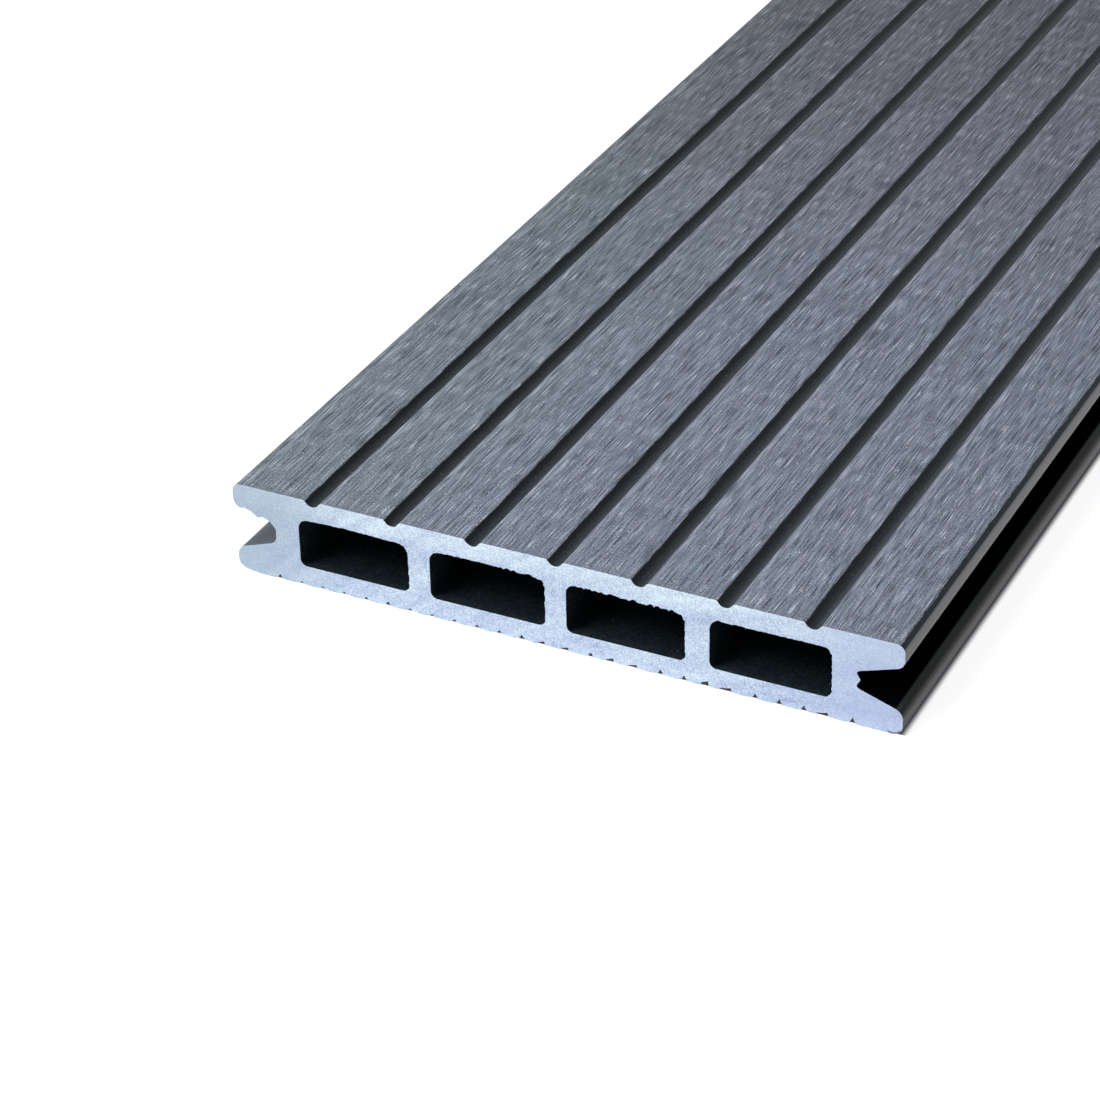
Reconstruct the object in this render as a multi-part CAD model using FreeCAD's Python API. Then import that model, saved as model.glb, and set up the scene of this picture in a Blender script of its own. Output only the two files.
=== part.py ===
"""Hollow decking board of extruded wood-plastic composite, one piece of stock.

The board is a long bar of one section. It has four rectangular chambers, seven shallow drainage grooves
in its brushed walking face, a flared clip groove in each long edge, and a row of fine V notches along its
underside. Millimetres. +X is across the board, +Y runs along it and +Z is up. The origin is at the
middle of the underside, so the near sawn end is at -Y and the far one at +Y.
"""
import FreeCAD, Part
import math
import os

# Overall size
length = 2200.0
width = 145.0
thickness = 20.2

# Chambers: a row of equal openings that fills the board between its two edge walls
chamber_count = 4
web_thickness = 4.5
edge_wall_thickness = 5.15
floor_thickness = 4.5
roof_thickness = 4.4
chamber_floor_radius = 1.5
chamber_roof_radius = 2.3

# Drainage grooves in the walking face
groove_pitch = 18.0
groove_margin = 18.5
groove_width = 3.5
groove_floor_width = 1.7
groove_depth = 1.25
groove_edge_radius = 0.35
groove_floor_radius = 1.5

# Clip groove in each long edge: it flares from its floor out to its mouth
clip_groove_depth = 9.6
clip_groove_floor_height = 3.6
clip_groove_floor_radius = 1.1
clip_groove_mid_height = 10.2
clip_groove_flare = 18.5

# Lips above and below each clip groove
upper_lip_crown_radius = 1.9
upper_lip_heel_radius = 2.1
lower_lip_crown_radius = 2.4
lower_lip_toe_radius = 2.0

# Notches in the underside
notch_pitch = 5.0
notch_margin = 10.0
notch_width = 1.25
notch_depth = 0.85

# Worked out from the sizes above. A margin is the distance from the board's edge to the middle of the
# outermost groove or notch.
chamber_row_width = width - 2 * (clip_groove_depth + edge_wall_thickness)
chamber_pitch = (chamber_row_width + web_thickness) / chamber_count
chamber_width = chamber_pitch - web_thickness
groove_count = round((width - 2 * groove_margin) / groove_pitch) + 1
notch_count = round((width - 2 * notch_margin) / notch_pitch) + 1


def rounded_wire(corners):
    """A closed wire in the XZ plane through corners (x, z, radius), each rounded by a tangent arc.

    Where two arcs are too large for the side between them, both get smaller until they fit.
    """
    points = [FreeCAD.Vector(x, 0, z) for x, z, radius in corners]
    count = len(points)
    sides = [points[(i + 1) % count] - points[i] for i in range(count)]
    half_angles = [sides[i].getAngle(-sides[i - 1]) / 2 for i in range(count)]
    setbacks = [radius / math.tan(angle) for (x, z, radius), angle in zip(corners, half_angles)]
    room = []
    for i, side in enumerate(sides):
        taken = setbacks[i] + setbacks[(i + 1) % count]
        room.append(min(1, side.Length / taken) if taken else 1)
    arcs = []
    for i, corner in enumerate(points):
        share = min(room[i - 1], room[i])
        radius = share * corners[i][2]
        setback = share * setbacks[i]
        if radius == 0:
            arcs.append((corner, None, corner))
            continue
        before = (points[i - 1] - corner).normalize()
        after = (points[(i + 1) % count] - corner).normalize()
        middle = corner + (before + after).normalize() * (radius / math.sin(half_angles[i]) - radius)
        arcs.append((corner + before * setback, middle, corner + after * setback))
    edges = []
    for i, (start, middle, end) in enumerate(arcs):
        if middle is not None:
            edges.append(Part.Arc(start, middle, end).toShape())
        next_start = arcs[(i + 1) % count][0]
        if end.distanceToPoint(next_start) > 1e-6:
            edges.append(Part.LineSegment(end, next_start).toShape())
    return Part.Wire(edges)


def row_places(count, pitch):
    """Places of a row of equal features, centred on zero."""
    return [(i - (count - 1) / 2) * pitch for i in range(count)]


def edge_profile(side):
    """The right (side 1) or left (side -1) edge of the section, from the underside up to the walking face."""
    edge = side * width / 2
    floor = side * (width / 2 - clip_groove_depth)
    rise = clip_groove_depth * math.tan(math.radians(clip_groove_flare))
    floor_bottom = clip_groove_mid_height - clip_groove_floor_height / 2
    floor_top = clip_groove_mid_height + clip_groove_floor_height / 2
    return [
        (edge, 0, lower_lip_toe_radius),
        (edge, floor_bottom - rise, lower_lip_crown_radius),
        (floor, floor_bottom, clip_groove_floor_radius),
        (floor, floor_top, clip_groove_floor_radius),
        (edge, floor_top + rise, upper_lip_heel_radius),
        (edge, thickness, upper_lip_crown_radius),
    ]


def groove_profile(x):
    """One drainage groove centred on x, from its right edge to its left edge."""
    floor = thickness - groove_depth
    return [
        (x + groove_width / 2, thickness, groove_edge_radius),
        (x + groove_floor_width / 2, floor, groove_floor_radius),
        (x - groove_floor_width / 2, floor, groove_floor_radius),
        (x - groove_width / 2, thickness, groove_edge_radius),
    ]


def notch_profile(x):
    """One V notch centred on x, from its left edge to its right edge."""
    return [(x - notch_width / 2, 0, 0), (x, notch_depth, 0), (x + notch_width / 2, 0, 0)]


def outline():
    """The outside of the section, counter-clockwise from the left end of the underside."""
    corners = []
    for x in row_places(notch_count, notch_pitch):
        corners += notch_profile(x)
    corners += edge_profile(1)
    for x in reversed(row_places(groove_count, groove_pitch)):
        corners += groove_profile(x)
    corners += reversed(edge_profile(-1))
    return rounded_wire(corners)


def chamber(x):
    """One chamber centred on x."""
    left = x - chamber_width / 2
    right = x + chamber_width / 2
    bottom = floor_thickness
    top = thickness - roof_thickness
    return rounded_wire([
        (left, bottom, chamber_floor_radius),
        (right, bottom, chamber_floor_radius),
        (right, top, chamber_roof_radius),
        (left, top, chamber_roof_radius),
    ])


def section():
    """The face of the section, with its chambers open."""
    chambers = [chamber(x) for x in row_places(chamber_count, chamber_pitch)]
    face = Part.Face(outline())
    return face.cut([Part.Face(wire) for wire in chambers])


def board():
    """The section, extruded along the board."""
    solid = section().extrude(FreeCAD.Vector(0, length, 0)).Solids[0]
    solid.translate(FreeCAD.Vector(0, -length / 2, 0))
    return solid


def main():
    os.makedirs("parts", exist_ok=True)
    shape = board()
    box = shape.BoundBox
    print(f"board {box.XLength:.2f} x {box.YLength:.2f} x {box.ZLength:.2f} mm, "
          f"section {shape.Volume / length:.1f} mm2, valid {shape.isValid()}, faces {len(shape.Faces)}")
    shape.exportStep("parts/board.step")


main()
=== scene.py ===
"""Looks of the hollow decking board: one closed mesh with worn groove edges and torn sawn ends.

Metres, in the frame of the CAD part: +X across the board, +Y along it, +Z up, origin in the middle of the
underside. The photographed sawn end is the near one, at -Y.
"""
import math
import bpy
import numpy as np
from mathutils import Matrix, Vector, geometry, noise


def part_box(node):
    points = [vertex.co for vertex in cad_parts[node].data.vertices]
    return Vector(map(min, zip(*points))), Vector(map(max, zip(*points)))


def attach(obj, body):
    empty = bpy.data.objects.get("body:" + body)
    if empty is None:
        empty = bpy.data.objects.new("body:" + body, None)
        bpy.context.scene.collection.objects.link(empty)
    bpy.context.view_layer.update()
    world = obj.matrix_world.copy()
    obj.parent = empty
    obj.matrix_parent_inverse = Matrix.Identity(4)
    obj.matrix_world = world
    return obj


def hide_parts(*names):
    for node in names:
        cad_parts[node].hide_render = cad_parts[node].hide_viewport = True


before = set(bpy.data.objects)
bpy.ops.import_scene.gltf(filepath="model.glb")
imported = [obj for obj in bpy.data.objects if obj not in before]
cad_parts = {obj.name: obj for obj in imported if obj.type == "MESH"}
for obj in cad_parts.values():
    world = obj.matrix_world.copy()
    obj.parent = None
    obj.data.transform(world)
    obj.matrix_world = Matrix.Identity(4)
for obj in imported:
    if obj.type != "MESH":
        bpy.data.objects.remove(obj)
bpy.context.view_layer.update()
low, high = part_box("board")

MM = 0.001

# Overall size, from the frame
width = high.x - low.x
thickness = high.z - low.z
length = high.y - low.y
near_y = low.y
far_y = high.y

# Section, as in the CAD part
chamber_count = 4
web_thickness = 4.5 * MM
edge_wall_thickness = 5.15 * MM
floor_thickness = 4.5 * MM
roof_thickness = 4.4 * MM
chamber_floor_radius = 1.5 * MM
chamber_roof_radius = 2.3 * MM
groove_count = 7
groove_pitch = 18.0 * MM
groove_width = 3.5 * MM
groove_floor_width = 1.7 * MM
groove_depth = 1.25 * MM
groove_left_edge_radius = 0.35 * MM
groove_right_edge_radius = 0.9 * MM
groove_floor_radius = 1.5 * MM
clip_groove_depth = 9.6 * MM
clip_groove_floor_height = 3.6 * MM
clip_groove_floor_radius = 1.1 * MM
clip_groove_mid_height = 10.2 * MM
clip_groove_flare = math.radians(18.5)
upper_lip_crown_radius = 1.9 * MM
upper_lip_heel_radius = 2.1 * MM
lower_lip_crown_radius = 2.4 * MM
lower_lip_toe_radius = 2.0 * MM
notch_count = 26
notch_pitch = 5.0 * MM
notch_width = 1.25 * MM
notch_depth = 0.85 * MM
chamber_row_width = width - 2 * (clip_groove_depth + edge_wall_thickness)
chamber_pitch = (chamber_row_width + web_thickness) / chamber_count
chamber_width = chamber_pitch - web_thickness
groove_row_reach = (groove_count - 1) / 2 * groove_pitch + groove_width

# How the extruded section strays from the plain one. Per chamber, left to right, in millimetres: how far its
# left and right walls lie to the right of the plain place, and how far its roof sags at each side.
wall_shifts = [(0.25, -0.2), (0.0, 0.0), (0.0, 0.0), (0.5, 0.3)]
roof_sags = [(0.4, 0.35), (0.3, 0.1), (0.0, 0.3), (0.0, -0.05)]
roof_crown_share = 0.45
left_lower_lip_inset = 0.3 * MM
left_clip_groove_floor_radius = 1.9 * MM
left_toe_reach = 5.6 * MM
left_toe_rise = 0.75 * MM

# Mesh density: the torn rim of each sawn end has close points, the body between them has few. The body's
# rings are given as (distance from the near end, spacing up to there).
outer_rim_step = 0.30 * MM
chamber_rim_step = 0.21 * MM
rim_depths = [0.0, 0.05 * MM, 0.45 * MM, 1.1 * MM]
rim_end = 2.0 * MM
body_line_step = 5.0 * MM
body_arc_step = 0.6 * MM
body_spacings = [(50 * MM, 1.6 * MM), (260 * MM, 3.6 * MM), (700 * MM, 12 * MM), (2170 * MM, 40 * MM),
                 (length, 6.0 * MM)]
chamber_ring_places = [rim_end, 12 * MM, 60 * MM, 200 * MM, 700 * MM]
sharp_angle = math.radians(32)

# Worn groove edges: how far brushing has eaten each edge back, which changes along the board. Each pair is
# for the left and the right edge of a groove; the left ones are rougher.
wear_mean = (0.12 * MM, 0.04 * MM)
wear_slow = (0.15 * MM, 0.10 * MM)
wear_fast = (0.22 * MM, 0.10 * MM)
wear_slow_length = 11 * MM
wear_fast_length = 3.4 * MM
wear_reach = 1.6 * MM

# Torn rims of the sawn ends. A burr hangs into a chamber by its depth, in millimetres: per chamber, left to
# right, at the left, middle and right of its roof.
rim_chamfer = 0.06 * MM
rim_fade = 0.6 * MM
touching = 0.01 * MM
roof_burrs = [(0.08, 0.14, 0.16), (0.12, 0.22, 0.60), (0.34, 0.62, 0.50), (0.38, 0.24, 0.16)]
wall_burr = 0.20 * MM
plain_burr = 0.035 * MM
tooth_length = 1.6 * MM
tooth_top = 1.05
tooth_slope = 2.4
tooth_sharpness = 1.3
tooth_share = 0.8
fine_tooth_length = 0.5 * MM
fine_tooth_share = 0.5

# Underside notches at the sawn ends, left to right: how open each is, and where the saw tore the land on a
# notch's left, how high in millimetres and over what share of the land. Each land bows, by its own amount.
notch_openness = [0.9, 0.6, 0.55, 0.6, 0.65, 0.85, 0.7, 0.6, 0.6, 0.65, 0.75, 1.15, 0.1,
                  0.1, 1.1, 0.15, 0.1, 1.3, 1.3, 0.3, 0.1, 1.2, 1.2, 1.3, 0.2, 1.2]
notch_tears = {12: (0.45, 0.35), 13: (0.45, 0.40), 15: (0.50, 0.50), 16: (0.50, 0.60), 19: (0.70, 0.35),
               20: (0.65, 0.80), 24: (0.60, 0.80)}
tear_slope_share = 0.6
land_bow = 0.45 * MM
land_bow_mean = 0.6
land_bow_spread = 0.8
damage_fade = 1.9 * MM
underside_height = 1.2 * notch_depth

# The left upper lip is chipped underneath: where each chip starts and ends, from the board's left edge, and
# how high it is, in millimetres
chips = [(1.6, 5.3, 0.50), (5.7, 9.0, 0.72)]
chip_steepness = 5.5
chip_wave = 0.3
chip_wave_length = 0.9 * MM

# The right clip groove's floor carries a small ridge
ridge_height = 0.95 * MM
ridge_half_height = 1.45 * MM
ridge_before_floor = 0.1 * MM
ridge_past_floor = 0.4 * MM

# The map for baked colours, as shares of its height: a strip for each sawn end, seen square on, then one for
# the outside and one for each chamber, with the board's length across the map. The shares below it say how
# much of the outside's strip a millimetre of each part takes.
map_near_end = (0.004, 0.126)
map_far_end = (0.134, 0.256)
map_outer = (0.264, 0.892)
map_chambers = [(0.900 + 0.024 * i, 0.918 + 0.024 * i) for i in range(chamber_count)]
map_edge = 0.004
map_share_top = 4.0
map_share_side = 2.8
map_share_underside = 0.6
map_top_depth = 1.1 * groove_depth

SKIN, SAWN = 0, 1


def clamp(value):
    return min(1.0, max(0.0, value))


def smooth(value):
    value = clamp(value)
    return value * value * (3 - 2 * value)


def wobble(x, y=0.0, z=0.0):
    """Smooth noise from about -1 to 1. Whatever isn't a place in it only picks another run."""
    return noise.noise(Vector((x, y, z)))


def row_places(count, pitch):
    """Places of a row of equal features, centred on zero."""
    return [(i - (count - 1) / 2) * pitch for i in range(count)]


def edge_profile(side):
    """The right (side 1) or left (side -1) edge as (x, z, radius), from the underside up."""
    edge = side * width / 2
    floor = side * (width / 2 - clip_groove_depth)
    rise = clip_groove_depth * math.tan(clip_groove_flare)
    floor_bottom = clip_groove_mid_height - clip_groove_floor_height / 2
    floor_top = clip_groove_mid_height + clip_groove_floor_height / 2
    return [
        (edge, 0, lower_lip_toe_radius),
        (edge, floor_bottom - rise, lower_lip_crown_radius),
        (floor, floor_bottom, clip_groove_floor_radius),
        (floor, floor_top, clip_groove_floor_radius),
        (edge, floor_top + rise, upper_lip_heel_radius),
        (edge, thickness, upper_lip_crown_radius),
    ]


def groove_profile(x):
    """One drainage groove centred on x, from its right edge to its left edge."""
    floor = thickness - groove_depth
    return [
        (x + groove_width / 2, thickness, groove_right_edge_radius),
        (x + groove_floor_width / 2, floor, groove_floor_radius),
        (x - groove_floor_width / 2, floor, groove_floor_radius),
        (x - groove_width / 2, thickness, groove_left_edge_radius),
    ]


def notch_profile(x):
    """One V notch centred on x, from its left edge to its right edge."""
    return [(x - notch_width / 2, 0, 0), (x, notch_depth, 0), (x + notch_width / 2, 0, 0)]


def outer_corners():
    """The outside of the section, counter-clockwise from the left toe, with the left edge's own strays."""
    corners = [(-width / 2 + left_toe_reach, 0, left_toe_reach)]
    for x in row_places(notch_count, notch_pitch):
        corners += notch_profile(x)
    corners += edge_profile(1)
    for x in reversed(row_places(groove_count, groove_pitch)):
        corners += groove_profile(x)
    left_edge = edge_profile(-1)
    left_edge[0] = (-width / 2 + left_lower_lip_inset, left_toe_rise, lower_lip_toe_radius)
    left_edge[1] = (-width / 2 + left_lower_lip_inset, *left_edge[1][1:])
    left_edge[2] = (*left_edge[2][:2], left_clip_groove_floor_radius)
    return corners + left_edge[::-1]


def chamber_corners(number):
    x = row_places(chamber_count, chamber_pitch)[number]
    left_shift, right_shift = wall_shifts[number]
    left_sag, right_sag = roof_sags[number]
    left = x - chamber_width / 2 + left_shift * MM
    right = x + chamber_width / 2 + right_shift * MM
    bottom, top = floor_thickness, thickness - roof_thickness
    return [
        (left, bottom, chamber_floor_radius),
        (right, bottom, chamber_floor_radius),
        (right, top - right_sag * MM, chamber_roof_radius),
        (left + roof_crown_share * (right - left), top, 0),
        (left, top - left_sag * MM, chamber_roof_radius),
    ]


class Loop:
    """Points along a closed outline of lines and tangent arcs, with each point's distance along it."""

    def __init__(self, corners, line_step, arc_step):
        points, stations = [], []
        station = 0.0
        ends = [corner_arc(corners, i) for i in range(len(corners))]
        for i, (start, centre, radius, sweep, end) in enumerate(ends):
            steps = max(1, math.ceil(abs(radius * sweep) / arc_step)) if radius else 0
            for k in range(steps + 1):
                points.append(arc_point(start, centre, sweep * k / steps) if steps else start)
                stations.append(station + (abs(radius * sweep) * k / steps if steps else 0))
            station += abs(radius * sweep)
            following = ends[(i + 1) % len(ends)][0]
            reach = (following - end).length
            steps = max(1, math.ceil(reach / line_step - 1e-6))
            for k in range(1, steps):
                points.append(end.lerp(following, k / steps))
                stations.append(station + reach * k / steps)
            station += reach
        self.points = np.array([[p.x, p.y] for p in points])
        self.stations = np.array(stations)
        self.total = station
        ahead = np.roll(self.points, -1, 0) - np.roll(self.points, 1, 0)
        normals = np.stack([ahead[:, 1], -ahead[:, 0]], 1)
        self.normals = normals / np.linalg.norm(normals, axis=1, keepdims=True)

    def __len__(self):
        return len(self.points)


def corner_arc(corners, i):
    """(start, centre, radius, sweep, end) of the arc that rounds corner i."""
    corner = Vector(corners[i][:2])
    radius = corners[i][2]
    before = (Vector(corners[i - 1][:2]) - corner).normalized()
    after = (Vector(corners[(i + 1) % len(corners)][:2]) - corner).normalized()
    if not radius:
        return corner, corner, 0.0, 0.0, corner
    half = before.angle(after) / 2
    setback = radius / math.tan(half)
    centre = corner + (before + after).normalized() * (radius / math.sin(half))
    turn = before.x * after.y - before.y * after.x
    sweep = (math.pi - 2 * half) * (-1 if turn > 0 else 1)
    return corner + before * setback, centre, radius, sweep, corner + after * setback


def arc_point(start, centre, angle):
    arm = start - centre
    return centre + Vector((
        arm.x * math.cos(angle) - arm.y * math.sin(angle),
        arm.x * math.sin(angle) + arm.y * math.cos(angle),
    ))


def groove_edges():
    """(place, side) of the two edges of each drainage groove."""
    return [(x + side * groove_width / 2, side)
            for x in row_places(groove_count, groove_pitch) for side in (-1, 1)]


def edge_wear(number, y):
    """How far groove edge number is eaten back at y."""
    edge = number % 2
    slow = wobble(y / wear_slow_length, 7.3 * number)
    fast = wobble(y / wear_fast_length, 3.1 * number, 5.0)
    return max(0.0, wear_mean[edge] + wear_slow[edge] * slow + wear_fast[edge] * fast)


def wear_weights(loop):
    """How much of each groove edge's wear reaches each point, with the edge's side as its sign."""
    x, z = loop.points[:, 0], loop.points[:, 1]
    height = np.clip((z - (thickness - groove_depth)) / groove_depth, 0, 1)
    columns = [side * height * np.clip(1 - np.abs(x - place) / wear_reach, 0, 1)
               for place, side in groove_edges()]
    return np.stack(columns, 1)


def ring(loop, weights, y):
    """The loop's points at y, with its groove edges worn where it has any."""
    points = loop.points.copy()
    if weights is not None:
        points[:, 0] += weights @ np.array([edge_wear(i, y) for i in range(weights.shape[1])])
    return points


def notch_damage(x, z):
    """How far a point of the underside rises at a sawn end."""
    first = row_places(notch_count, notch_pitch)[0]
    number = round((x - first) / notch_pitch)
    if z > notch_depth + touching or not 0 <= number < notch_count:
        return 0.0
    offset = x - (first + number * notch_pitch)
    rise = z * (notch_openness[number] - 1)
    if offset > notch_width / 2 and number + 1 < notch_count:
        number, offset = number + 1, offset - notch_pitch
    tear_height, tear_share = notch_tears.get(number, (0.0, 1.0))
    land = notch_pitch - notch_width
    if offset <= 0:
        along = clamp((offset + notch_width / 2 + land) / land)
        rise += tear_height * MM * smooth((along - 1 + tear_share) / (tear_slope_share * tear_share))
        bow = land_bow * (land_bow_mean + land_bow_spread * wobble(1.7 * number, 4.0))
        rise += bow * abs(2 * along - 1) ** 3
    return rise


def end_damage(x, z):
    """How far the outer rim of a sawn end is out of the plain section, across and up."""
    floor = width / 2 - clip_groove_depth
    if z < underside_height:
        return 0.0, notch_damage(x, z)
    if x < -floor and clip_groove_mid_height < z < thickness - upper_lip_crown_radius:
        inward = (x + width / 2) / MM
        rise = 0.0
        for start, end, height in chips:
            along = clamp((inward - start) / (end - start))
            rise += height * min(1.0, chip_steepness * along * (1 - along))
        wave = 1 + chip_wave * wobble(x / chip_wave_length, 2.0)
        return 0.0, rise * wave * MM
    if floor - ridge_before_floor < x < floor + ridge_past_floor:
        off = abs(z - clip_groove_mid_height) / ridge_half_height
        return ridge_height * max(0.0, 1 - off), 0.0
    return 0.0, 0.0


def tooth(x, z, seed):
    """A ragged number from 0 to 1, with narrow tips."""
    big = wobble(x / tooth_length, z / tooth_length, seed)
    small = wobble(x / fine_tooth_length, z / fine_tooth_length, seed + 9.0)
    tip = max(0.0, tooth_top - tooth_slope * abs(big)) ** tooth_sharpness
    return min(1.0, tip * tooth_share + fine_tooth_share * max(0.0, small))


def outer_burr(rim, way):
    """The outer rim is a little worn all round."""
    return np.array([plain_burr * tooth(x, z, 20.0 + way) for x, z in rim.points])


def chamber_burr(loop, number, seed):
    """How far the torn rim of a chamber stands into it, at each point."""
    centre = row_places(chamber_count, chamber_pitch)[number]
    places = [-chamber_width / 2, 0.0, chamber_width / 2]
    depths = []
    for (x, z), (nx, nz) in zip(loop.points, loop.normals):
        roof = float(np.interp(x - centre, places, roof_burrs[number])) * MM
        depth = plain_burr + max(0.0, nz) * roof + max(0.0, nx) * wall_burr
        depths.append(depth * tooth(x, z, seed))
    return np.array(depths)


def zipper(a, b, a_total, b_total):
    """Triangles between two closed rings of unlike counts, matched by their share of the way round."""
    triangles = []
    i = j = 0
    n, m = len(a), len(b)
    while i < n or j < m:
        next_a = a[i + 1] / a_total if i + 1 < n else 1.0
        next_b = b[j + 1] / b_total if j + 1 < m else 1.0
        if j >= m or (i < n and next_a <= next_b):
            triangles.append((("a", i), ("a", (i + 1) % n), ("b", j % m)))
            i += 1
        else:
            triangles.append((("b", (j + 1) % m), ("b", j), ("a", i % n)))
            j += 1
    return triangles


class BoardMesh:
    """Gathers rings of points and the faces between them."""

    def __init__(self):
        self.points = []
        self.rows = []
        self.faces = []
        self.kinds = []

    def add_ring(self, xz, y, rows):
        """Adds points at y, each with its row of the map for baked colours."""
        first = len(self.points)
        self.points += [(px, y, pz) for px, pz in xz]
        self.rows += list(rows)
        return range(first, first + len(xz))

    def add_face(self, face, kind, flip=False):
        self.faces.append(tuple(reversed(face)) if flip else tuple(face))
        self.kinds.append(kind)

    def join_like(self, a, b, kind, inside):
        """Quads between two rings of one count, a nearer than b."""
        n = len(a)
        for i in range(n):
            k = (i + 1) % n
            self.add_face((a[i], b[i], b[k], a[k]), kind, flip=inside)

    def join_unlike(self, a, b, loop_a, loop_b, kind, inside, reverse=False):
        """Triangles between a ring of loop_a and one of loop_b; a is nearer unless reverse."""
        rings = {"a": a, "b": b}
        for corners in zipper(loop_a.stations, loop_b.stations, loop_a.total, loop_b.total):
            face = [rings[name][i] for name, i in corners]
            self.add_face(face, kind, flip=(not inside) != reverse)


def ring_places():
    """Where the body's rings lie along the board, as distances from the near end."""
    last = length - rim_end
    places, place = [], rim_end
    for limit, spacing in body_spacings:
        while place < min(limit, last) - spacing / 2:
            places.append(place)
            place += spacing
    return places + [last]


def build_tube(mesh, corners, rim_step, places, inside, burr, damage, strip):
    """One closed tube of the board, outer or chamber, from end to end. Returns its two rim rings.

    burr(rim, way) gives how far each rim point stands out of the solid, and damage(x, z) moves it bodily.
    strip is the tube's place on the map for baked colours.
    """
    body = Loop(corners, body_line_step, body_arc_step)
    rim = Loop(corners, rim_step, rim_step)
    body_rows, rim_rows = map_rows(body, strip), map_rows(rim, strip)
    body_weights = None if inside else wear_weights(body)
    rim_weights = None if inside else wear_weights(rim)
    moves = np.array([damage(x, z) for x, z in rim.points]) if damage else np.zeros((len(rim), 2))
    mouths = []
    joins = []
    for end_y, way in ((near_y, 1), (far_y, -1)):
        torn = burr(rim, way)
        rings = []
        for depth in rim_depths:
            shift = -torn * max(0.0, 1 - depth / rim_fade)
            if depth == 0:
                shift = shift + (rim_chamfer if inside else -rim_chamfer)
            shift = np.where(rim.points[:, 1] < touching, 0.0, shift)
            xz = ring(rim, rim_weights, end_y + way * depth)
            xz = xz + rim.normals * shift[:, None] + moves * max(0.0, 1 - depth / damage_fade)
            xz[:, 1] = np.maximum(xz[:, 1], 0.0)
            rings.append(mesh.add_ring(xz, end_y + way * depth, rim_rows))
        for k in range(len(rings) - 1):
            a, b = (rings[k], rings[k + 1]) if way > 0 else (rings[k + 1], rings[k])
            mesh.join_like(a, b, SAWN if k == 0 else SKIN, inside)
        mouths.append(rings[0])
        joins.append(rings[-1])
    body_rings = []
    for place in places:
        y = near_y + place
        body_rings.append(mesh.add_ring(ring(body, body_weights, y), y, body_rows))
    for a, b in zip(body_rings, body_rings[1:]):
        mesh.join_like(a, b, SKIN, inside)
    mesh.join_unlike(joins[0], body_rings[0], rim, body, SKIN, inside)
    mesh.join_unlike(joins[1], body_rings[-1], rim, body, SKIN, inside, reverse=True)
    return mouths


def inside_loop(px, pz, loop):
    """Whether a point lies inside a closed loop of points."""
    x, z = loop[:, 0], loop[:, 1]
    next_x, next_z = np.roll(x, -1), np.roll(z, -1)
    spans = (z > pz) != (next_z > pz)
    with np.errstate(divide="ignore", invalid="ignore"):
        crossing = x + (pz - z) * (next_x - x) / (next_z - z)
    return bool(np.count_nonzero(spans & (px < crossing)) % 2)


def cap(mesh, rings, flip):
    """A sawn face between the outer rim ring and the chambers' rim rings."""
    indices = [i for r in rings for i in r]
    owners = [number for number, r in enumerate(rings) for _ in r]
    flat = [(mesh.points[i][0] / MM, mesh.points[i][2] / MM) for i in indices]
    loops = [np.array([flat[k] for k in range(len(flat)) if owners[k] == n]) for n in range(len(rings))]
    edges, first = [], 0
    for r in rings:
        edges += [(first + k, first + (k + 1) % len(r)) for k in range(len(r))]
        first += len(r)
    triangles_inside, tolerance = 1, 1e-7
    _, _, faces, sources, _, _ = geometry.delaunay_2d_cdt(
        [Vector(p) for p in flat], edges, [], triangles_inside, tolerance)
    for face in faces:
        corners = [sources[v][0] for v in face]
        (ax, az), (bx, bz), (cx, cz) = [flat[c] for c in corners]
        owner = owners[corners[0]]
        alone = owner > 0 and all(owners[c] == owner for c in corners)
        if alone and inside_loop((ax + bx + cx) / 3, (az + bz + cz) / 3, loops[owner]):
            continue
        turned = (bx - ax) * (cz - az) - (bz - az) * (cx - ax) < 0
        mesh.add_face([indices[c] for c in corners], SAWN, flip=turned != flip)


def map_rows(loop, strip):
    """Where each point of a loop lies across its strip of the map. The walking face gets the widest rows."""
    middles = (loop.points + np.roll(loop.points, -1, 0)) / 2
    x, z = np.abs(middles[:, 0]), middles[:, 1]
    shares = np.full(len(loop), map_share_side)
    shares[z < notch_depth] = map_share_underside
    on_top = (z > thickness - map_top_depth) & (x < width / 2 - upper_lip_crown_radius)
    shares[on_top] = map_share_top
    steps = np.diff(np.append(loop.stations, loop.total)) * shares
    across = (np.cumsum(steps) - steps) / steps.sum()
    return strip[0] + (strip[1] - strip[0]) * across


def add_colour_map(data, mesh):
    """The map for baked colours: a strip for each tube, and a true view of each sawn end.

    A tube's last face on its way round runs on to the strip's top, and not back to its start.
    """
    corners = np.array([i for face in mesh.faces for i in face])
    counts = np.array([len(face) for face in mesh.faces])
    starts = np.cumsum(counts) - counts
    x, y, z = np.array(mesh.points)[corners].T
    rows = np.array(mesh.rows)[corners]
    highest = np.repeat(np.maximum.reduceat(rows, starts), counts)
    for bottom, top in [map_outer] + map_chambers:
        at_start = (rows >= bottom) & (rows < top) & (highest - rows > 0.5 * (top - bottom))
        rows[at_start] = top
    map_width = 1 - 2 * map_edge
    across = map_edge + map_width * (y - near_y) / length
    sawn = np.repeat(np.array(mesh.kinds) == SAWN, counts)
    end_rows = np.where(y < 0, map_near_end[0], map_far_end[0])
    end_height = map_near_end[1] - map_near_end[0]
    across[sawn] = map_edge + map_width * (x[sawn] / width + 0.5)
    rows[sawn] = end_rows[sawn] + end_height * z[sawn] / thickness
    layer = data.uv_layers.new(name="OFBake")
    layer.uv.foreach_set("vector", np.stack([across, rows], 1).ravel())


def add_object(name, data):
    made = bpy.data.objects.new(name, data)
    bpy.context.scene.collection.objects.link(made)
    return made


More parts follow.
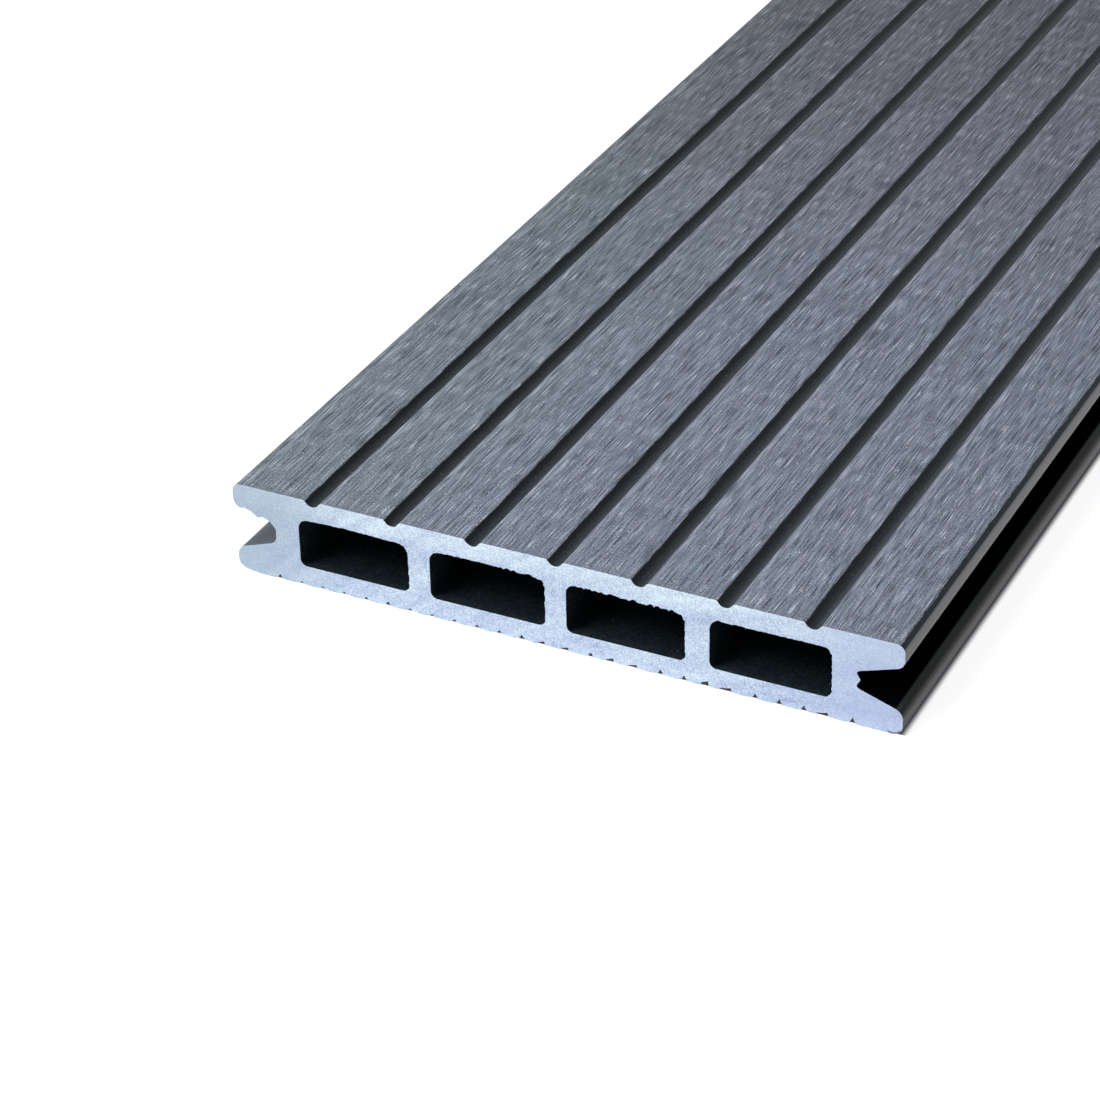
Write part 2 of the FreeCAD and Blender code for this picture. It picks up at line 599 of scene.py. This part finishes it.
def build_board():
    mesh = BoardMesh()
    near, far = build_tube(mesh, outer_corners(), outer_rim_step, ring_places(), False, outer_burr,
                           end_damage, map_outer)
    near_mouths, far_mouths = [near], [far]
    places = chamber_ring_places + [length - place for place in reversed(chamber_ring_places)]
    for number in range(chamber_count):
        def burr(rim, way, number=number):
            return chamber_burr(rim, number, 30.0 + 5 * number + way)
        near, far = build_tube(mesh, chamber_corners(number), chamber_rim_step, places, True, burr, None,
                               map_chambers[number])
        near_mouths.append(near)
        far_mouths.append(far)
    cap(mesh, near_mouths, False)
    cap(mesh, far_mouths, True)
    data = bpy.data.meshes.new("decking_board")
    data.from_pydata(mesh.points, [], mesh.faces)
    data.polygons.foreach_set("material_index", mesh.kinds)
    data.polygons.foreach_set("use_smooth", [True] * len(mesh.faces))
    data.update()
    data.set_sharp_from_angle(angle=sharp_angle)
    add_colour_map(data, mesh)
    board = add_object("decking_board", data)
    flat_sides = board.modifiers.new("flat_sides", "WEIGHTED_NORMAL")
    flat_sides.keep_sharp = True
    flat_sides.weight = 100
    return board


class Nodes:
    """Short names for making a material's nodes."""

    def __init__(self, owner):
        owner.use_nodes = True
        self.tree = owner.node_tree
        self.tree.nodes.clear()

    def put(self, value, socket):
        if isinstance(value, bpy.types.NodeSocket):
            self.tree.links.new(value, socket)
        else:
            socket.default_value = value

    def add(self, kind, inputs=(), **settings):
        node = self.tree.nodes.new(kind)
        for name, value in settings.items():
            setattr(node, name, value)
        for name, value in dict(inputs).items():
            self.put(value, node.inputs[name])
        return node

    def finish(self, shader, kind="ShaderNodeOutputMaterial"):
        self.put(shader.outputs[0], self.add(kind).inputs["Surface"])

    def place(self):
        return self.add("ShaderNodeTexCoord").outputs["Object"]

    def split(self, vector):
        """The X, Y and Z of a vector."""
        return tuple(self.add("ShaderNodeSeparateXYZ", {0: vector}).outputs)

    def stretched(self, place, waves):
        return self.add("ShaderNodeVectorMath", {0: place, 1: waves}, operation="MULTIPLY").outputs[0]

    def distance(self, place, point):
        arm = self.add("ShaderNodeVectorMath", {0: place, 1: point}, operation="SUBTRACT").outputs[0]
        return self.add("ShaderNodeVectorMath", {0: arm}, operation="LENGTH").outputs["Value"]

    def grain(self, place, waves, detail=2.0, roughness=0.5):
        """Noise from 0 to 1, with so many waves per metre across, along and up."""
        return self.add("ShaderNodeTexNoise", {"Vector": self.stretched(place, waves), "Scale": 1.0,
                        "Detail": detail, "Roughness": roughness}).outputs["Fac"]

    def ramp(self, value, start, end, low=0.0, high=1.0, smooth=True):
        """low up to start and high from end on, with a soft step between them. start may be the larger."""
        node = self.add("ShaderNodeMapRange", {"Value": value, "From Min": start, "From Max": end,
                        "To Min": low, "To Max": high},
                        interpolation_type="SMOOTHSTEP" if smooth else "LINEAR")
        return node.outputs["Result"]

    def mix(self, share, a, b, blend="MIX"):
        """The colour a share of the way from a to b."""
        node = self.add("ShaderNodeMix", {"Factor": share}, data_type="RGBA", blend_type=blend)
        for index, value in ((6, a), (7, b)):
            self.put((*value, 1.0) if isinstance(value, tuple) else value, node.inputs[index])
        return node.outputs[2]

    def between(self, share, a, b):
        """The number a share of the way from a to b."""
        return self.add("ShaderNodeMix", {"Factor": share, 2: a, 3: b}, data_type="FLOAT").outputs[0]

    def math(self, operation, a, b=0.0):
        return self.add("ShaderNodeMath", {0: a, 1: b}, operation=operation).outputs[0]

    def product(self, value, *others):
        for other in others:
            value = self.math("MULTIPLY", value, other)
        return value

    def weigh(self, *parts):
        """The sum of (value, weight) parts."""
        total = 0.0
        for value, weight in parts:
            total = self.math("ADD", self.math("MULTIPLY", value, weight), total)
        return total


# Colours, as linear light
brushed_dark = (0.042, 0.052, 0.068)
brushed_blue = (0.213, 0.283, 0.361)
brushed_violet = (0.286, 0.276, 0.351)
# painted tints of the light: less blue towards the left edge, and warmer and darker past the first 0.1 m
brushed_left_light_tint = (0.233, 0.283, 0.316)
brushed_far_light_tint = (1.0, 0.88, 0.86)
brushed_fibre = (0.55, 0.59, 0.67)
brushed_fleck = (0.74, 0.75, 0.80)
brushed_scratch = (0.012, 0.014, 0.018)
skin_dark = (0.006, 0.0100, 0.0130)
skin_light = (0.017, 0.025, 0.030)
# painted shade for the left wall of a drainage groove
groove_painted_shade = (0.003, 0.004, 0.004)
groove_scuff = (0.085, 0.102, 0.128)
# painted reflection on the upper lip's nose, paler at its top
nose_top_reflection = (0.172, 0.182, 0.202)
nose_side_reflection = (0.096, 0.092, 0.092)
lip_side = (0.031, 0.032, 0.035)
# painted highlight on the lower lip's crown
lip_crown_highlight = (0.018, 0.0255, 0.0255)
lip_line = (0.006, 0.0065, 0.0075)
lip_toe = (0.012, 0.012, 0.013)
# painted light and shade in the clip grooves: the left one paler as lit, the right one near black as shade
left_clip_groove_painted_light = (0.055, 0.078, 0.100)
right_clip_groove_painted_shade = (0.0015, 0.002, 0.0025)
sawn_low = (0.13, 0.19, 0.46)
sawn_high = (0.82, 0.96, 1.0)
sawn_crystal = (0.95, 0.98, 1.0)
# painted shade towards the sawn face's left side, darker and greener, and its right side
sawn_left_shade = (0.345, 0.435, 0.535)
sawn_right_shade = (0.39, 0.47, 0.68)
# a dark rim along the toe of the sawn face
toe_dark_rim = (0.10, 0.085, 0.13)
# painted shadow on the floor under the board
floor_painted_shadow = (0.062, 0.056, 0.068)

# Grains, in waves per metre across the board, along it and up
crumb_waves = (5200, 1900, 500)
streak_waves = (5800, 140, 500)
long_streak_waves = (4800, 40, 500)
hue_waves = (2300, 900, 500)
fibre_waves = (5800, 160, 500)
fleck_waves = (1700, 1100, 0)
die_line_waves = (2600, 1.5, 2600)
dust_waves = (1900, 1500, 1900)
border_waves = (900, 170, 0)
fine_border_waves = (1500, 750, 0)
speckle_waves = (2900, 2900, 2900)
clump_waves = (850, 850, 850)
patch_waves = (170, 170, 260)
crystal_waves = (3400, 3400, 3400)
saw_arc_waves = 1500.0

# Levels of a grain between which it shows, from where it starts to where it is full
hue_levels = (0.38, 0.62)
brushed_levels = (0.39, 0.63)
fibre_levels = (0.58, 0.76)
scratch_levels = (0.30, 0.20)
shoulder_highlight_levels = (0.35, 0.65)
fleck_levels = (0.32, 0.12)
skin_levels = (0.3, 0.7)
die_line_levels = (0.42, 0.62)
sawn_levels = (0.31, 0.69)
crystal_levels = (0.60, 0.74)

# The share of fleck-sized cells that stay empty, and how much paler the sawn grain is along the roof
fleck_rarity = 0.985
roof_strip_lift = 0.05

# How strongly a colour covers what it lies on, at most; for the painted highlight on a groove's right
# shoulder, at least and at most
left_light_tint_share = 0.8
fibre_share = 0.75
scratch_share = 0.2
shoulder_highlight_shares = (0.02, 0.18)
fleck_share = 0.7
skin_fleck_share = 0.15
groove_painted_shade_share = 0.8
die_line_share = 0.45
sawn_left_shade_share = 0.7
sawn_right_shade_share = 0.60
crystal_share = 0.4
toe_dark_rim_share = 0.8

# Finish
brushed_roughness = 0.82
skin_roughness = 0.23
skin_gloss = 0.07
skin_relief = 0.02
brush_bump = 0.3
brush_depth = 0.16 * MM
sawn_roughness = 0.9
sawn_gloss = 0.2
sawn_bump = 0.7
sawn_depth = 0.10 * MM
saw_centre = (0.075, 0.0, -0.125)


class CompositeNodes(Nodes):
    """The nodes of the board's long faces, with the values that several of their parts read."""

    def __init__(self, material):
        super().__init__(material)
        self.here = self.place()
        self.x, self.y, self.height = self.split(self.here)
        self.from_middle = self.math("ABSOLUTE", self.x)
        self.from_groove = self.add("ShaderNodeMath", {0: self.x, 1: groove_pitch / 2, 2: -groove_pitch / 2},
                                    operation="WRAP").outputs[0]
        self.crumb = self.grain(self.here, crumb_waves, 1.0)
        self.streak = self.grain(self.here, streak_waves, 0.0)
        long_streak = self.grain(self.here, long_streak_waves, 0.0)
        self.tone = self.weigh((self.crumb, 0.40), (self.streak, 0.34), (long_streak, 0.26))
        self.die_lines = self.grain(self.here, die_line_waves)
        cells = self.add("ShaderNodeTexVoronoi", {"Vector": self.stretched(self.here, fleck_waves),
                         "Scale": 1.0, "Randomness": 1.0}).outputs
        chosen = self.math("GREATER_THAN", self.split(cells["Color"])[0], fleck_rarity)
        self.fleck = self.product(chosen, self.ramp(cells["Distance"], *fleck_levels, 0.0, fleck_share))

    def brushed(self):
        """The walking face: grain along the board with pale fibres, dark scratches and a few flecks, painted
        tints of the light towards the left edge and the far part, and a painted highlight on each groove's
        right shoulder.
        """
        edge = groove_width / 2
        far_light_band = (near_y + 100 * MM, near_y + 280 * MM)
        shoulder_start_band = (edge - 0.1 * MM, edge + 0.5 * MM)
        shoulder_end_band = (edge + 1.6 * MM, edge + 0.8 * MM)
        violet = self.ramp(self.grain(self.here, hue_waves, 1.0), *hue_levels)
        hue = self.mix(violet, brushed_blue, brushed_violet)
        # painted tint of the light: less blue towards the left edge, then warmer and darker from 0.1 to 0.28
        # m along
        hue = self.mix(self.ramp(self.x, 0.0, -width / 2, 0.0, left_light_tint_share), hue, brushed_left_light_tint)
        hue = self.mix(self.ramp(self.y, *far_light_band), hue, brushed_far_light_tint, blend="MULTIPLY")
        colour = self.mix(self.ramp(self.tone, *brushed_levels, smooth=False), brushed_dark, hue)
        fibre = self.weigh((self.grain(self.here, fibre_waves, 0.0), 0.72), (self.crumb, 0.28))
        colour = self.mix(self.ramp(fibre, *fibre_levels, 0.0, fibre_share), colour, brushed_fibre)
        scratch = self.ramp(self.streak, *scratch_levels, 0.0, scratch_share)
        colour = self.mix(scratch, colour, brushed_scratch)
        # painted highlight along each groove's right shoulder, where its edge catches light
        shoulder = self.product(self.ramp(self.from_groove, *shoulder_start_band),
                                self.ramp(self.from_groove, *shoulder_end_band),
                                self.ramp(self.streak, *shoulder_highlight_levels, *shoulder_highlight_shares))
        colour = self.mix(shoulder, colour, brushed_fibre)
        return self.mix(self.fleck, colour, brushed_fleck)

    def plain_skin(self):
        """The dark extruded skin, with fine lines from the die and some dust."""
        dust = self.grain(self.here, dust_waves, roughness=0.6)
        tone = self.weigh((self.die_lines, 0.25), (dust, 0.75))
        colour = self.mix(self.ramp(tone, *skin_levels), skin_dark, skin_light)
        return self.mix(self.product(self.fleck, skin_fleck_share), colour, brushed_fleck)

    def with_groove_walls(self, colour):
        """A drainage groove's left wall is painted dark as shade, and brushing reaches down its right wall.
        """
        under_floor = thickness - groove_depth - 0.1 * MM
        shaded_band = (-0.5 * MM, -1.35 * MM)
        scuffed_band = (0.1 * MM, groove_width / 2 + 0.2 * MM)
        in_groove = self.product(self.math("LESS_THAN", self.from_middle, groove_row_reach),
                                 self.math("GREATER_THAN", self.height, under_floor))
        # painted shade on each groove's left wall
        shaded = self.ramp(self.from_groove, *shaded_band, 0.0, groove_painted_shade_share)
        colour = self.mix(self.product(in_groove, shaded), colour, groove_painted_shade)
        scuffed = self.ramp(self.from_groove, *scuffed_band)
        return self.mix(self.product(in_groove, scuffed), colour, groove_scuff)

    def with_upper_lip(self, colour):
        """The upper lip's nose is painted pale as a reflection, paler towards its top."""
        side_band = (width / 2 - 1.25 * MM, width / 2 - 1.05 * MM)
        heel_band = (clip_groove_mid_height, thickness / 2 + 3 * MM)
        crown_band = (thickness - 0.85 * MM, thickness - 1.2 * MM)
        reflection_band = (thickness - 2.6 * MM, thickness - 1.1 * MM)
        nose = self.mix(self.ramp(self.height, *reflection_band), nose_side_reflection, nose_top_reflection)
        on_nose = self.product(self.ramp(self.height, *heel_band), self.ramp(self.height, *crown_band))
        on_side = self.ramp(self.from_middle, *side_band)
        return self.mix(self.product(on_side, on_nose), colour, nose)

    def with_lower_lip(self, colour):
        """The lower lip, in bands by height: a dark toe, a paler side with lines from the die, a dark line,
        and the crown, greenish, as a painted highlight.
        """
        toe_band = (0.8 * MM, 3.4 * MM)
        line_band = (4.35 * MM, 4.8 * MM)
        crown_band = (5.1 * MM, 5.45 * MM)
        face_band = (width / 2 - 1.5 * MM, width / 2 - 1.2 * MM)
        lip = self.mix(self.ramp(self.height, *toe_band), lip_toe, lip_side)
        lip = self.mix(self.ramp(self.die_lines, *die_line_levels, 0.0, die_line_share), lip, lip_line)
        lip = self.mix(self.ramp(self.height, *line_band), lip, lip_line)
        lip = self.mix(self.ramp(self.height, *crown_band), lip, lip_crown_highlight)
        on_face = self.ramp(self.from_middle, *face_band)
        is_lower = self.math("LESS_THAN", self.height, clip_groove_mid_height)
        return self.mix(self.product(on_face, is_lower), colour, lip)

    def in_clip_groove(self):
        """1 inside a clip groove."""
        mouth_band = (width / 2 - 1.35 * MM, width / 2 - 1.8 * MM)
        behind_floor = width / 2 - clip_groove_depth - 0.3 * MM
        inward = self.ramp(self.from_middle, *mouth_band)
        outward = self.math("GREATER_THAN", self.from_middle, behind_floor)
        level = self.product(self.math("GREATER_THAN", self.height, lower_lip_crown_radius),
                             self.math("LESS_THAN", self.height, thickness - upper_lip_crown_radius))
        return self.product(inward, outward, level)

    def brushed_mask(self):
        """1 where the brushes reached, with a ragged border along every edge of the walking face."""
        border_band = (thickness - 0.26 * MM, thickness - 0.12 * MM)
        raggedness = 0.46 * MM
        crown = width / 2 - upper_lip_crown_radius
        crown_band = (crown, crown + 0.5 * MM)
        crown_drop = -0.01 * MM
        ragged = self.weigh((self.grain(self.here, border_waves, 1.0), 0.5),
                            (self.grain(self.here, fine_border_waves, roughness=0.6), 0.5))
        edge = self.math("ADD", self.height, self.product(self.math("SUBTRACT", ragged, 0.5), raggedness))
        on_crown = self.ramp(self.from_middle, *crown_band, 0.0, crown_drop)
        return self.ramp(self.math("SUBTRACT", edge, on_crown), *border_band)


def composite_material():
    """Brushed on the walking face, smooth die-drawn skin everywhere else."""
    material = bpy.data.materials.new("composite")
    n = CompositeNodes(material)
    skin = n.with_lower_lip(n.with_upper_lip(n.with_groove_walls(n.plain_skin())))
    in_clip_groove = n.in_clip_groove()
    on_right = n.math("GREATER_THAN", n.x, 0.0)
    # the clip grooves are painted as lit: the left one paler as painted light, the right one near black as
    # painted shade
    skin = n.mix(in_clip_groove, skin, n.mix(on_right, left_clip_groove_painted_light, right_clip_groove_painted_shade))
    mask = n.brushed_mask()
    relief = n.between(mask, n.product(n.die_lines, skin_relief), n.tone)
    bump = n.add("ShaderNodeBump", {"Strength": brush_bump, "Distance": brush_depth, "Height": relief})
    n.finish(n.add("ShaderNodeBsdfPrincipled", {
        "Base Color": n.mix(mask, skin, n.brushed()),
        "Roughness": n.between(mask, skin_roughness, brushed_roughness),
        "Normal": bump.outputs[0],
        # the right clip groove also loses its gloss, as part of its painted shade
        "Specular IOR Level": n.ramp(n.product(in_clip_groove, on_right), 0.0, 1.0, skin_gloss, 0.0),
    }))
    return material


def sawn_material():
    """The pale, fine-grained face that the saw leaves, with faint arcs from the blade, painted shade towards
    its left and right sides, and a dark rim along the toe.
    """
    roof_band = (thickness - 5 * MM, thickness - 2 * MM)
    sawn_left_shade_band = (-40 * MM, -68 * MM)
    right_band = (44 * MM, 68 * MM)
    toe_radius = lower_lip_toe_radius
    toe_rim_band = (toe_radius - 0.5 * MM, toe_radius - 0.3 * MM)
    toe_height_band = (1.3 * MM, 0.8 * MM)
    toe_side_band = (width / 2 - 3.2 * MM, width / 2 - 2.6 * MM)
    material = bpy.data.materials.new("sawn_composite")
    n = Nodes(material)
    place = n.place()
    x, _, height = n.split(place)
    speckle = n.grain(place, speckle_waves, roughness=0.6)
    clump = n.grain(place, clump_waves, roughness=0.6)
    patch = n.grain(place, patch_waves, roughness=0.6)
    arcs = n.add("ShaderNodeTexNoise", {"W": n.distance(place, saw_centre), "Scale": saw_arc_waves,
                 "Detail": 2.0, "Roughness": 0.6}, noise_dimensions="1D").outputs["Fac"]
    tone = n.weigh((speckle, 0.54), (clump, 0.20), (patch, 0.10), (arcs, 0.16))
    tone = n.math("ADD", tone, n.ramp(height, *roof_band, 0.0, roof_strip_lift))
    colour = n.mix(n.ramp(tone, *sawn_levels, smooth=False), sawn_low, sawn_high)
    # painted shade towards both sides of the sawn face
    colour = n.mix(n.ramp(x, *sawn_left_shade_band, 0.0, sawn_left_shade_share), colour, sawn_left_shade)
    colour = n.mix(n.ramp(x, *right_band, 0.0, sawn_right_shade_share), colour, sawn_right_shade)
    crystal = n.grain(place, crystal_waves, 1.0)
    colour = n.mix(n.ramp(crystal, *crystal_levels, 0.0, crystal_share), colour, sawn_crystal)
    # darker along the toe's arc, towards its bottom
    from_toe = n.distance(place, (width / 2 - toe_radius, near_y, toe_radius))
    on_toe = n.product(n.ramp(from_toe, *toe_rim_band), n.ramp(height, *toe_height_band, 0.0, toe_dark_rim_share),
                       n.ramp(x, *toe_side_band))
    colour = n.mix(on_toe, colour, toe_dark_rim)
    bump = n.add("ShaderNodeBump", {"Strength": sawn_bump, "Distance": sawn_depth, "Height": speckle})
    n.finish(n.add("ShaderNodeBsdfPrincipled", {
        "Base Color": colour,
        "Roughness": sawn_roughness,
        "Normal": bump.outputs[0],
        "Specular IOR Level": sawn_gloss,
    }))
    return material


def seen_directly(nodes):
    """1 where the eye, gloss or clear material looks, and 0 for the light that falls on things."""
    paths = nodes.add("ShaderNodeLightPath").outputs
    return nodes.math("MAXIMUM", paths["Is Camera Ray"],
                      nodes.math("MAXIMUM", paths["Is Glossy Ray"], paths["Is Transmission Ray"]))


def make_floor():
    """A pale floor that shows white to the eye and in gloss, and keeps a soft shadow.

    Under the board, and in a band that fades out just past its right toe, it is a painted shadow, so that
    the notches look dark from the board's ends.
    """
    reach = 30.0
    drop = 0.05 * MM
    left_line = -(width / 2 - 3 * MM)
    # the painted shadow fades out over this band just past the right toe
    right_band = (width / 2 - 0.6 * MM, width / 2 + 1.0 * MM)
    end_line = far_y - 0.42 * MM
    lit_grey = 0.92
    white_level = 0.90
    shadow_grey = 0.22
    data = bpy.data.meshes.new("floor")
    data.from_pydata([(-reach, -reach, 0), (reach, -reach, 0), (reach, reach, 0), (-reach, reach, 0)], [],
                     [(0, 1, 2, 3)])
    floor = add_object("floor", data)
    floor.location.z = -drop
    material = bpy.data.materials.new("floor")
    n = Nodes(material)
    x, y, _ = n.split(n.place())
    beside = n.math("MAXIMUM", n.math("LESS_THAN", x, left_line), n.ramp(x, *right_band))
    beyond = n.math("GREATER_THAN", n.math("ABSOLUTE", y), end_line)
    open_floor = n.math("MAXIMUM", beside, beyond)
    under_board_shadow = n.add("ShaderNodeEmission", {"Color": (*floor_painted_shadow, 1), "Strength": 1.0}).outputs[0]
    lit = n.add("ShaderNodeBsdfDiffuse", {"Color": (lit_grey, lit_grey, lit_grey, 1)}).outputs[0]
    white = n.add("ShaderNodeEmission", {"Color": (1, 1, 1, 1), "Strength": white_level}).outputs[0]
    shade = n.add("ShaderNodeBsdfDiffuse", {"Color": (shadow_grey, shadow_grey, shadow_grey, 1)}).outputs[0]
    shown = n.add("ShaderNodeAddShader", {0: white, 1: shade}).outputs[0]
    open_shader = n.add("ShaderNodeMixShader", {0: seen_directly(n), 1: lit, 2: shown}).outputs[0]
    n.finish(n.add("ShaderNodeMixShader", {0: open_floor, 1: under_board_shadow, 2: open_shader}))
    data.materials.append(material)


def make_world():
    """White to the eye and in gloss. It lights the board as a soft ceiling and a soft wall on the right."""
    ceiling_light = 0.27
    ceiling_band = (0.45, 0.75)
    right_light = 0.34
    right_band = (0.35, 0.75)
    horizon_band = (-0.05, 0.10)
    world = bpy.data.worlds.new("studio")
    bpy.context.scene.world = world
    n = Nodes(world)
    x, _, z = n.split(n.add("ShaderNodeTexCoord").outputs["Generated"])
    ceiling = n.ramp(z, *ceiling_band, 0.0, ceiling_light)
    right_wall = n.product(n.ramp(x, *right_band, 0.0, right_light), n.ramp(z, *horizon_band))
    strength = n.between(seen_directly(n), n.math("ADD", ceiling, right_wall), 1.0)
    background = n.add("ShaderNodeBackground", {"Color": (1, 1, 1, 1), "Strength": strength})
    n.finish(background, "ShaderNodeOutputWorld")


def add_lamp(name, kind, towards):
    lamp = add_object(name, bpy.data.lights.new(name, kind))
    lamp.rotation_mode = "QUATERNION"
    lamp.rotation_quaternion = Vector(towards).to_track_quat("-Z", "Y")
    return lamp


def make_sun(name, towards, strength, angle):
    """A sun that shines towards a direction and is angle degrees wide."""
    lamp = add_lamp(name, "SUN", towards)
    lamp.data.energy = strength
    lamp.data.angle = math.radians(angle)


def make_near_light():
    """A soft pool of light on the near end, which fades out over the first 0.3 m of the board."""
    place = Vector((-0.22, near_y - 0.12, 0.80))
    target = Vector((0, near_y, thickness))
    reach = 0.31
    level = 0.72
    distance = (place - target).length
    lamp = add_lamp("near_light", "SPOT", target - place)
    lamp.location = place
    lamp.data.energy = 4.0 * math.pi * math.pi * distance ** 2 * level
    lamp.data.spot_size = 2 * math.atan(reach / distance)
    lamp.data.spot_blend = 1.0
    lamp.data.shadow_soft_size = 0.15


def make_camera():
    """The photograph's view: placed, aimed and rolled as solved from the groove lines."""
    eye = Vector((0.2543, near_y - 0.5001, 0.3682))
    aim = Vector((-0.0026, near_y + 0.0033, thickness))
    roll = math.radians(-1.40)
    data = bpy.data.cameras.new("camera")
    data.sensor_width = 36.0
    data.lens = 111.83
    data.clip_start = 0.01
    data.clip_end = 100.0
    camera = add_object("camera", data)
    turn = (aim - eye).to_track_quat("-Z", "Y").to_matrix().to_4x4()
    camera.matrix_world = Matrix.Translation(eye) @ turn @ Matrix.Rotation(roll, 4, "Z")
    bpy.context.scene.camera = camera


board = build_board()
board.data.materials.append(composite_material())
board.data.materials.append(sawn_material())
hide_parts("board")
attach(board, "root")

make_floor()
make_world()
make_sun("key_light", towards=(0.95, 1.0, -1.45), strength=1.72, angle=25)
make_sun("front_light", towards=(0.35, 1.0, -0.55), strength=0.42, angle=40)
make_near_light()
make_camera()
bpy.context.scene.view_settings.view_transform = "Standard"
